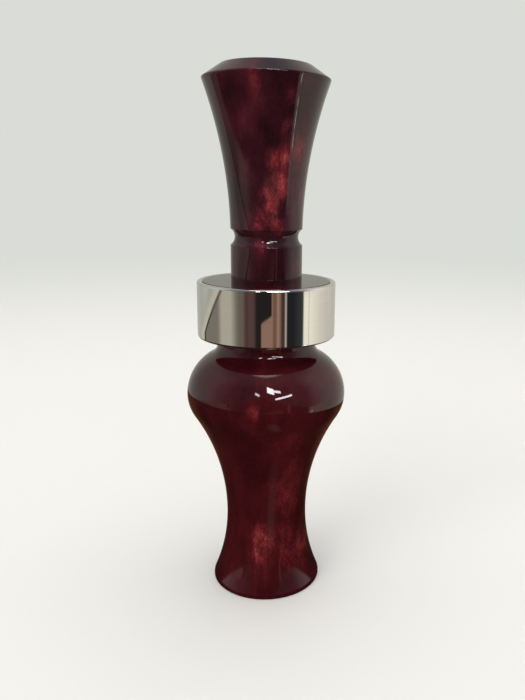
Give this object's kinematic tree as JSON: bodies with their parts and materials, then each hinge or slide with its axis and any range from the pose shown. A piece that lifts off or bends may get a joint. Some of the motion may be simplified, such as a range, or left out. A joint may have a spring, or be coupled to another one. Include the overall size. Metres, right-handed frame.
{
  "type": "duck call",
  "caption": "Turned duck call with a waisted barrel, metal band and flared insert that pulls out and turns; film reeds flex on a tone board under a cork wedge.",
  "frame": {"origin": "centre of the barrel's foot, on the surface the call stands on", "axes": "+Z along the call's axis from the mouthpiece foot to the exhaust bell; the reeds face -Y, and X lies across them"},
  "size_m": [0.0372, 0.0372, 0.1204],
  "materials": {
    "barrel_acrylic": "buffed burgundy acrylic with pearl swirls",
    "insert_acrylic": "buffed burgundy acrylic with pearl swirls",
    "band_metal": "mirror-polished nickel",
    "ring_rubber": "moulded black rubber",
    "board_plastic": "satin black polymer, machined",
    "reed_film": "clear polyester film, slightly hazy",
    "cork": "cut agglomerated cork"
  },
  "bodies": {
    "barrel": {"barrel": "barrel_acrylic", "band": "band_metal"},
    "o_rings": {"front_o_ring": "ring_rubber", "rear_o_ring": "ring_rubber"},
    "insert": {"insert": "insert_acrylic", "tone_board": "board_plastic"},
    "main_reed": {"main_reed": "reed_film"},
    "top_reed": {"top_reed": "reed_film"},
    "cork_wedge": {"cork_wedge": "cork"}
  },
  "joints": [
    {"name": "insert_pull", "type": "slide", "parent": "barrel", "child": "o_rings", "axis": [0, 0, 1], "range_m": [0, 0.062]},
    {"name": "insert_turn", "type": "hinge", "parent": "o_rings", "child": "insert", "pos_m": [0, 0, 0.0683], "axis": [0, 0, 1], "continuous": true},
    {"name": "main_reed_flex", "type": "hinge", "parent": "insert", "child": "main_reed", "pos_m": [0, -0.0008, 0.053], "axis": [1, 0, 0], "range_deg": [-0.6, 1.9], "stiffness_Nm_per_rad": 0.006, "deforming": ["main_reed"]},
    {"name": "top_reed_flex", "type": "hinge", "parent": "insert", "child": "top_reed", "pos_m": [0, -0.0012, 0.053], "axis": [1, 0, 0], "range_deg": [-0.6, 1.9], "stiffness_Nm_per_rad": 0.006, "deforming": ["top_reed"]},
    {"name": "wedge_slide", "type": "slide", "parent": "insert", "child": "cork_wedge", "axis": [0, 0, -1], "range_m": [0, 0.008]}
  ],
  "couplings": [
    {"joint": "top_reed_flex", "follows": "main_reed_flex", "ratio": 1}
  ]
}
